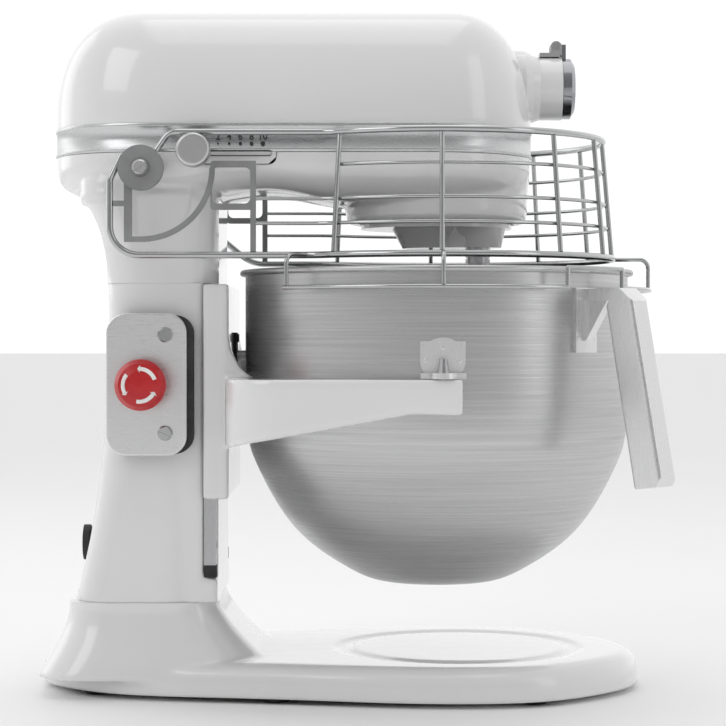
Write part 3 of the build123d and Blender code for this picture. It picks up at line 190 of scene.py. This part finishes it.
def moulded(name, colour, low, high, grain=900.0, strength=0.15, coat=0.0):
    """Plastic or rubber with a fine moulded texture."""
    m = Nodes(name, colour, roughness=(low + high) / 2, coat=coat)
    lighter = tuple(min(1.0, 1.25 * c + 0.01) for c in colour)
    m.vary_colour(m.noise(45.0, 3.0), colour, lighter)
    m.vary_roughness(m.noise(110.0, 4.0), low, high)
    m.bump(m.noise(grain, 2.0), strength, 0.0003)
    return m.material


def painted_sheet():
    """Grey powder coat on the guard's side plates."""
    return moulded("guard_powder_coat", (0.22, 0.222, 0.225), 0.38, 0.55, 1200.0, 0.2)


def cast():
    m = Nodes("raw_casting", (0.30, 0.30, 0.31), metallic=0.7, roughness=0.6)
    m.vary_colour(m.noise(80.0, 5.0), (0.20, 0.20, 0.21), (0.36, 0.36, 0.37))
    m.vary_roughness(m.noise(160.0, 5.0), 0.5, 0.8)
    m.bump(m.noise(600.0, 4.0), 0.35, 0.0005)
    return m.material


WHITE = enamel()
BOWL_STEEL = brushed_bowl()
HANDLE_STEEL = brushed("brushed_handle", (0.80, 0.80, 0.805), (1, 1, 0.04))
PLATE_STEEL = brushed("brushed_plate", (0.78, 0.78, 0.785), (0.04, 1, 1))
TRIM = brushed("satin_trim", (0.62, 0.625, 0.63), (0.03, 0.03, 1), 0.22, 0.34)
SATIN = brushed("satin_metal", (0.60, 0.60, 0.60), (1, 0.1, 1), 0.26, 0.38)
STEEL = brushed("ground_steel", (0.50, 0.50, 0.51), (1, 1, 0.05), 0.22, 0.38)
GEAR = brushed("gear_steel", (0.42, 0.42, 0.44), (1, 1, 0.3), 0.3, 0.45)
WIRE = chrome("wire_chrome", (0.52, 0.525, 0.53), 0.07, 0.16)
DARK_CHROME = chrome("dark_chrome", (0.34, 0.345, 0.36), 0.08, 0.2)
GREY_SHEET = painted_sheet()
RUBBER = moulded("black_rubber", (0.018, 0.018, 0.018), 0.55, 0.8, 700.0, 0.3)
BLACK = moulded("black_moulding", (0.02, 0.02, 0.022), 0.3, 0.5)
GREY = moulded("grey_moulding", (0.36, 0.36, 0.37), 0.35, 0.5)
RED = moulded("red_button", (0.46, 0.004, 0.008), 0.28, 0.40, 900.0, 0.06, coat=0.15)
MARKING = moulded("white_marking", (0.85, 0.84, 0.82), 0.4, 0.55, 900.0, 0.05)
INK = moulded("black_ink", (0.02, 0.02, 0.02), 0.4, 0.55, 900.0, 0.05)
BOARD = moulded("circuit_board", (0.03, 0.16, 0.08), 0.35, 0.5, 500.0, 0.3)
CASTING = cast()

FINISH = {
    WHITE: ["base_casting", "column_casting", "gearcase_housing", "head_cover", "lift_yoke", "hub_sleeve",
            "planetary_carrier"],
    BOWL_STEEL: ["bowl_shell", "bowl_rear_pin"],
    HANDLE_STEEL: ["bowl_handle", "bowl_handle_bracket", "bowl_ears"],
    PLATE_STEEL: ["estop_cover"],
    TRIM: ["trim_band"],
    SATIN: ["speed_knob", "speed_lever", "hub_bracket", "guard_pivot_bolts"],
    STEEL: ["slide_rails", "lift_shaft", "lift_crank", "lift_lever", "planetary_shaft", "agitator_shaft",
            "agitator_pin", "bowl_pins", "hub_hinge_pin"],
    GEAR: ["crown_bevel", "drive_bevel", "hub_shaft", "agitator_pinion", "ring_gear", "shaft_bearings",
           "motor_armature"],
    WIRE: ["guard_top_wire", "guard_bottom_wire", "guard_uprights", "guard_rings", "guard_skirt",
           "guard_links", "estop_screws"],
    DARK_CHROME: ["hub_cover"],
    GREY_SHEET: ["guard_plates", "guard_discs"],
    RUBBER: ["rubber_feet", "rail_stops", "cord_gland", "estop_box", "latch_spring"],
    BLACK: ["attachment_knob", "speed_plate", "lift_grip", "estop_switch"],
    GREY: ["estop_collar"],
    RED: ["estop_button", "estop_stem"],
    BOARD: ["control_board"],
    CASTING: ["gearcase_bridge", "gearhead", "motor_stator"],
}
for material, names in FINISH.items():
    for node in names:
        for material_slot in frame["nodes"][node].material_slots:
            material_slot.material = material
BODY_OF = {node: body for body, nodes in frame["record"]["behaviour"]["bodies"].items() for node in nodes}


# ---------------------------------------------------------------- mesh helpers
def piece(name, body, material, mesh, smooth=True):
    """Puts a bmesh into the scene as a named piece that rides on a body."""
    bmesh.ops.recalc_face_normals(mesh, faces=mesh.faces)
    data = bpy.data.meshes.new(name)
    mesh.to_mesh(data)
    mesh.free()
    for face in data.polygons:
        face.use_smooth = smooth
    data.materials.append(material)
    made = bpy.data.objects.new(name, data)
    bpy.context.scene.collection.objects.link(made)
    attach(made, body)
    return made


def grid_faces(mesh, rows, closed_rows=False, closed_columns=False):
    """Joins rows of vertices with quads."""
    count = len(rows)
    for i in range(count if closed_rows else count - 1):
        row, following = rows[i], rows[(i + 1) % count]
        width = len(row)
        for j in range(width if closed_columns else width - 1):
            k = (j + 1) % width
            corners = (row[j], row[k], following[k], following[j])
            if len(set(corners)) == 4:
                mesh.faces.new(corners)


def apply_modifiers(made):
    """Bakes an object's modifiers into its mesh."""
    evaluated = made.evaluated_get(bpy.context.evaluated_depsgraph_get())
    data = bpy.data.meshes.new_from_object(evaluated)
    made.modifiers.clear()
    made.data = data


# ---------------------------------------------------------------- rounded skins over the castings
def add_backing(data, points):
    """Adds the convex hull of some points to a mesh, to back a thin or open stretch of wall from inside."""
    mesh = bmesh.new()
    found = [mesh.verts.new(point) for point in points]
    hull = bmesh.ops.convex_hull(mesh, input=found)
    bmesh.ops.delete(mesh, geom=[g for g in set(hull["geom_interior"] + hull["geom_unused"])
                                 if isinstance(g, bmesh.types.BMVert)], context="VERTS")
    bmesh.ops.recalc_face_normals(mesh, faces=mesh.faces)
    mesh.from_mesh(data)
    mesh.to_mesh(data)
    mesh.free()


def slice_points(data, low, high, rear_of, floor_level, ceiling, inset):
    """Points of a mesh between two levels, drawn in by inset and spread between a floor and a ceiling."""
    picked = [v.co for v in data.vertices if low < v.co.z < high and v.co.x < rear_of]
    middle = sum(((min(c[i] for c in picked) + max(c[i] for c in picked)) / 2 * Vector((i == 0, i == 1, 0))
                  for i in (0, 1)), Vector())
    reach = max((Vector((c.x, c.y, 0)) - middle).length for c in picked)
    share = 1 - inset / reach
    return [Vector((middle.x + (c.x - middle.x) * share, middle.y + (c.y - middle.y) * share, z))
            for c in picked for z in (floor_level, ceiling)]


def cast_skin(node, voxel, rounds, cuts=(), backings=()):
    """Remeshes a copy of a casting and smooths it, so that its edges get cast radii. Each cut is a level
    where the casting meets its neighbour: the rim is drawn past it first and trimmed back flush after."""
    source = frame["nodes"][node]
    data = source.data.copy()
    made = bpy.data.objects.new(node + "_skin", data)
    bpy.context.scene.collection.objects.link(made)
    for backing in backings:
        add_backing(data, slice_points(source.data, *backing))
    for level, direction in cuts:
        for vertex in data.vertices:
            if abs(vertex.co.z - level) < 0.2 * MM:
                vertex.co.z += direction * 9 * MM
    remesh = made.modifiers.new("remesh", "REMESH")
    remesh.mode = "VOXEL"
    remesh.voxel_size = voxel
    smooth = made.modifiers.new("smooth", "SMOOTH")
    smooth.factor = 0.5
    smooth.iterations = rounds
    apply_modifiers(made)
    mesh = bmesh.new()
    mesh.from_mesh(made.data)
    for level, direction in cuts:
        everything = mesh.verts[:] + mesh.edges[:] + mesh.faces[:]
        bmesh.ops.bisect_plane(mesh, geom=everything, plane_co=(0, 0, level), plane_no=(0, 0, direction),
                               clear_outer=True)
        rim = [edge for edge in mesh.edges if edge.is_boundary]
        bmesh.ops.triangle_fill(mesh, edges=rim, use_beauty=True)
    mesh.to_mesh(made.data)
    mesh.free()
    for face in made.data.polygons:
        face.use_smooth = True
    made.data.materials.clear()
    made.data.materials.append(WHITE)
    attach(made, BODY_OF[node])
    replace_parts(made, node)
    return made


SEAM_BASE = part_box("column_casting")[0].z
SEAM_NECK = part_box("column_casting")[1].z
BASE_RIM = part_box("base_casting")[0].z
cast_skin("base_casting", 1.9 * MM, 10, [(BASE_RIM, -1), (SEAM_BASE, 1)])
cast_skin("column_casting", 1.9 * MM, 5, [(SEAM_BASE, -1), (SEAM_NECK, 1)])
SHOULDER = (300.5 * MM, 303 * MM, -85 * MM, 297 * MM, 311 * MM, 1.2 * MM)
REAR_WALL = (319 * MM, 324 * MM, -150 * MM, 317 * MM, 334 * MM, 2.2 * MM)
cast_skin("gearcase_housing", 1.6 * MM, 8, [(SEAM_NECK, -1), (BAND_LOW, 1)], [SHOULDER, REAR_WALL])
cast_skin("lift_yoke", 1.5 * MM, 8)


# ---------------------------------------------------------------- head cover and trim band
def cover_rise(x):
    """Height of the cover above the band along the head."""
    rise = HEAD_TOP - BAND_HIGH
    rear, front = -118 * MM, 66 * MM
    if x < rear:
        u = min(1.0, (rear - x) / (rear - HEAD_REAR))
        return rise * (1 - u ** 2.6) ** (1 / 2.2)
    if x > front:
        u = min(1.0, (x - front) / (HEAD_FRONT - front))
        return rise * (1 - u ** 2.2) ** (1 / 2.2)
    return rise


def plan_half_width(x):
    """Half width of the head along its length."""
    rear, front = -95 * MM, 45 * MM
    if x < rear:
        u = min(1.0, (rear - x) / (rear - HEAD_REAR))
        return HEAD_HALF * (1 - u ** 3.0) ** 0.5
    if x > front:
        u = min(1.0, (x - front) / (HEAD_FRONT - front))
        return HEAD_HALF * (1 - u ** 2.1) ** (1 / 2.1)
    return HEAD_HALF


def stations(count):
    """Positions along the head, closer together towards both ends."""
    middle, half = (HEAD_REAR + HEAD_FRONT) / 2, (HEAD_FRONT - HEAD_REAR) / 2
    return [middle - half * math.cos(math.pi * i / count) for i in range(count + 1)]


def make_cover(steps=72, power=3.0):
    mesh = bmesh.new()
    rows = []
    for x in stations(150)[1:-1]:
        half, rise = plan_half_width(x), cover_rise(x)
        row = [mesh.verts.new((x, half * 0.985, BAND_HIGH - 2 * MM))]
        for i in range(steps + 1):
            t = math.pi * i / steps
            c, s = math.cos(t), math.sin(t)
            y = half * math.copysign(abs(c) ** (2 / power), c)
            row.append(mesh.verts.new((x, y, BAND_HIGH + rise * abs(s) ** (2 / power))))
        row.append(mesh.verts.new((x, -half * 0.985, BAND_HIGH - 2 * MM)))
        rows.append(row)
    grid_faces(mesh, rows)
    for row in (rows[0], rows[-1]):
        mesh.faces.new(row)
    made = piece("head_cover_skin", "stand", WHITE, mesh)
    shell = made.modifiers.new("wall", "SOLIDIFY")
    shell.thickness = 2.4 * MM
    shell.offset = -1
    apply_modifiers(made)
    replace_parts(made, "head_cover")


def plan_outline(count=160):
    """The head's plan outline as points with outward normals."""
    near = [(x, -plan_half_width(x)) for x in stations(count)]
    far = [(x, -y) for x, y in reversed(near[1:-1])]
    points = [Vector((x, y, 0)) for x, y in near + far]
    normals = []
    for i in range(len(points)):
        along = points[(i + 1) % len(points)] - points[i - 1]
        normals.append(Vector((along.y, -along.x, 0)).normalized())
    return points, normals


def make_band():
    """Satin band: two raised borders with a shallow panel between them."""
    height = BAND_HIGH - BAND_LOW
    profile = [(-2.0, 0.2), (-0.2, 0.2), (0.3, 0.7), (0.35, 1.9), (0.3, 2.4), (-0.25, 2.9), (-0.3, 9.0)]
    profile += [(out, height / MM - up) for out, up in reversed(profile[:-1])]
    mesh = bmesh.new()
    points, normals = plan_outline()
    rows = []
    for out, up in profile:
        rows.append([mesh.verts.new(p + n * out * MM + Vector((0, 0, BAND_LOW + up * MM)))
                     for p, n in zip(points, normals)])
    grid_faces(mesh, rows, closed_rows=True, closed_columns=True)
    made = piece("trim_band_skin", "stand", TRIM, mesh)
    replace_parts(made, "trim_band")


make_cover()
make_band()


def stadium(mesh, left, right, half, y, level, count=13):
    """A ring of vertices round a slot's outline, facing -Y."""
    row = []
    for end, start in ((right - half, -90), (left + half, 90)):
        for i in range(count):
            angle = math.radians(start + 180 * i / (count - 1))
            row.append(mesh.verts.new((end + half * math.cos(angle), y * MM, level + half * math.sin(angle))))
    return row


def make_speed_slot():
    """Dark slot that the speed lever runs in, with a thin raised rim and a floor inside the head."""
    low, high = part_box("speed_plate")
    level = (low.z + high.z) / 2 - 0.1 * MM
    mesh = bmesh.new()
    rows = [stadium(mesh, low.x + 2 * MM, high.x - 2 * MM, out * MM, y, level)
            for out, y in ((1.7, -66.4), (1.7, -70.6), (1.3, -70.85), (1.2, -70.6), (1.2, -67.2))]
    grid_faces(mesh, rows, closed_columns=True)
    mesh.faces.new(rows[0])
    mesh.faces.new(rows[-1])
    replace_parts(piece("speed_slot", "stand", BLACK, mesh, smooth=False), "speed_plate")
    surround = bmesh.new()
    top, bottom = BAND_LOW + 0.3 * MM, low.z - 0.6 * MM
    outline = [(low.x - 0.4 * MM, top), (low.x - 0.4 * MM, bottom + 4 * MM), (low.x + 4 * MM, bottom),
               (high.x - 4 * MM, bottom), (high.x + 0.4 * MM, bottom + 4 * MM), (high.x + 0.4 * MM, top)]
    rows = [[surround.verts.new((x, y * MM, z)) for x, z in outline] for y in (-66.6, -69.7, -69.9)]
    grid_faces(surround, rows, closed_columns=True)
    surround.faces.new(rows[0])
    surround.faces.new(rows[-1])
    piece("speed_slot_surround", "stand", WHITE, surround, smooth=False)


make_speed_slot()


# ---------------------------------------------------------------- dial, markings and welds
slot_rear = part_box("speed_plate")[0].x
DIAL_Y = -HEAD_HALF - 0.15 * MM
DIAL = [(label, slot_rear / MM + 21.2 + 6.65 * i, 0.55 + 0.2 * i) for i, label in
        enumerate(("2", "4", "6", "8", "10"))]


def make_numeral(text, x):
    """A dial numeral printed on the band."""
    curve = bpy.data.curves.new("numeral", "FONT")
    curve.body = text
    curve.size = 5.6 * MM
    curve.align_x = "CENTER"
    curve.extrude = 0.06 * MM
    curve.offset = 0.12 * MM
    curve.resolution_u = 3
    made = bpy.data.objects.new("dial_numeral_" + text, curve)
    bpy.context.scene.collection.objects.link(made)
    data = bpy.data.meshes.new_from_object(made.evaluated_get(bpy.context.evaluated_depsgraph_get()))
    bpy.data.objects.remove(made)
    data.transform(Matrix.Translation((x, DIAL_Y, 333.4 * MM)) @ Matrix.Rotation(math.pi / 2, 4, "X"))
    data.materials.clear()
    data.materials.append(INK)
    printed = bpy.data.objects.new("dial_numeral_" + text, data)
    bpy.context.scene.collection.objects.link(printed)
    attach(printed, "stand")


def disc(mesh, centre, normal, radius, height, segments=28):
    """Adds a low button with a rounded rim to a mesh."""
    turn = normal.to_track_quat("Z", "Y").to_matrix().to_4x4()
    place = Matrix.Translation(centre) @ turn
    rows = []
    for share, lift in ((1.0, 0.0), (0.96, 0.6), (0.82, 0.95), (0.5, 1.0)):
        ring = [mesh.verts.new(place @ Vector((radius * share * math.cos(2 * math.pi * i / segments),
                                               radius * share * math.sin(2 * math.pi * i / segments),
                                               height * lift))) for i in range(segments)]
        rows.append(ring)
    grid_faces(mesh, rows, closed_columns=True)
    mesh.faces.new(rows[-1])
    mesh.faces.new(rows[0][::-1])


for label, x_mm, dot_mm in DIAL:
    make_numeral(label, x_mm * MM)
dots = bmesh.new()
for label, x_mm, dot_mm in DIAL:
    disc(dots, Vector((x_mm * MM, DIAL_Y, 331.2 * MM)), Vector((0, -1, 0)), dot_mm * MM, 0.1 * MM)
piece("dial_dots", "stand", INK, dots)


def make_arrows():
    """Three curved arrows in low relief round the face of the stop button."""
    low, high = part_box("estop_button")
    centre = Vector(((low.x + high.x) / 2, low.y, (low.z + high.z) / 2))

    def on_face(radius, angle, lift):
        fall = 0.4 * (radius / 8.0) ** 2 if radius < 8.0 else 0.4 + 1.6 * ((radius - 8.0) / 4.6) ** 1.05
        return centre + Vector((radius * math.cos(angle), fall - lift, radius * math.sin(angle))) * MM

    mesh = bmesh.new()
    for turn in range(3):
        begin = math.radians(120 * turn + 20)
        spans = [(begin + math.radians(2.6 * i), 1.15) for i in range(27)]
        head = math.radians(9)
        spans += [(spans[-1][0], 2.3), (spans[-1][0] + head * 0.5, 1.2), (spans[-1][0] + head, 0.08)]
        rows = []
        for angle, half in spans:
            rows.append([mesh.verts.new(on_face(9.6 + side * half, angle, lift))
                         for side, lift in ((-1, -0.05), (-1, 0.14), (1, 0.14), (1, -0.05))])
        grid_faces(mesh, rows, closed_columns=True)
        mesh.faces.new(rows[0])
        mesh.faces.new(rows[-1][::-1])
    piece("stop_button_arrows", "stop_button", MARKING, mesh)


make_arrows()


def make_welds():
    """Spot weld dimples on the bowl's ears and on the handle's bracket."""
    mesh = bmesh.new()
    ear_r = 121.2
    for side in (1, -1):
        for x, z in ((0.0, 209.9), (-9.4, 202.5), (9.4, 202.5)):
            y = side * math.sqrt(ear_r ** 2 - x ** 2)
            normal = Vector((x, y, 0)).normalized()
            disc(mesh, Vector((BOWL_X / MM + x, y, z)) * MM - normal * 0.1 * MM, normal, 1.5 * MM, 0.35 * MM)
    bracket_r = 121.4
    for across in (-3.5, 3.5):
        for z in (239.5, 215.6):
            angle = math.radians(-45.0 + across)
            normal = Vector((math.cos(angle), math.sin(angle), 0))
            centre = Vector((BOWL_X / MM, 0, z)) * MM + normal * (bracket_r - 0.1) * MM
            disc(mesh, centre, normal, 1.5 * MM, 0.35 * MM)
    piece("spot_welds", "bowl", HANDLE_STEEL, mesh)


make_welds()

# ---------------------------------------------------------------- camera, floor and light
camera_data = bpy.data.cameras.new("camera")
camera_data.lens = 111.0
camera_data.sensor_width = 36.0
camera = bpy.data.objects.new("camera", camera_data)
camera.location = (0.0113, -1.400, 0.2156)
camera.rotation_euler = (math.radians(90 - 0.64), 0, 0)
bpy.context.scene.collection.objects.link(camera)
bpy.context.scene.camera = camera


def flat_material(name, colour, roughness):
    m = Nodes(name, colour, roughness=roughness)
    m.vary_roughness(m.noise(6.0, 2.0), roughness - 0.06, roughness + 0.06)
    return m.material


FLOOR_REACH = 30.0
floor_mesh = bmesh.new()
floor_steps = 12
grid_faces(floor_mesh, [[floor_mesh.verts.new((FLOOR_REACH * (2 * i / floor_steps - 1),
                                               FLOOR_REACH * (2 * j / floor_steps - 1), -0.0005))
                         for i in range(floor_steps + 1)] for j in range(floor_steps + 1)])
bmesh.ops.recalc_face_normals(floor_mesh, faces=floor_mesh.faces)
floor_data = bpy.data.meshes.new("floor")
floor_mesh.to_mesh(floor_data)
floor_mesh.free()
for polygon in floor_data.polygons:
    polygon.use_smooth = True
floor_data.materials.append(flat_material("pale_floor", (0.96, 0.96, 0.96), 0.6))
floor = bpy.data.objects.new("floor", floor_data)
bpy.context.scene.collection.objects.link(floor)


def softbox(name, place, aim, size, power, spread=180):
    light_data = bpy.data.lights.new(name, "AREA")
    light_data.shape = "RECTANGLE"
    light_data.size, light_data.size_y = size
    light_data.energy = power
    light_data.spread = math.radians(spread)
    light = bpy.data.objects.new(name, light_data)
    light.location = place
    light.visible_camera = False
    light.rotation_euler = (Vector(aim) - Vector(place)).to_track_quat("-Z", "Y").to_euler()
    bpy.context.scene.collection.objects.link(light)


TARGET = (0, 0, 0.2)
softbox("key", (-1.2, -1.2, 1.3), TARGET, (0.9, 1.2), 5)
softbox("fill", (1.6, -1.0, 0.8), TARGET, (0.5, 1.5), 2)
softbox("top", (0.1, 0.0, 1.7), TARGET, (1.6, 0.9), 3)
softbox("rim", (-1.4, 0.9, 0.9), TARGET, (0.8, 1.4), 2)

world = bpy.data.worlds.new("studio")
world.use_nodes = True
sky = world.node_tree
direction = sky.nodes.new("ShaderNodeTexCoord").outputs["Generated"]
parts = sky.nodes.new("ShaderNodeSeparateXYZ")
sky.links.new(direction, parts.inputs["Vector"])
shade = sky.nodes.new("ShaderNodeMapRange")
shade.inputs["From Min"].default_value = -0.9
shade.inputs["From Max"].default_value = 0.5
shade.inputs["To Min"].default_value = 0.36
shade.inputs["To Max"].default_value = 1.06
sky.links.new(parts.outputs["Y"], shade.inputs["Value"])
sky.links.new(shade.outputs["Result"], sky.nodes["Background"].inputs["Color"])
sky.nodes["Background"].inputs["Strength"].default_value = 1.0
bpy.context.scene.world = world
bpy.context.scene.view_settings.view_transform = "Standard"
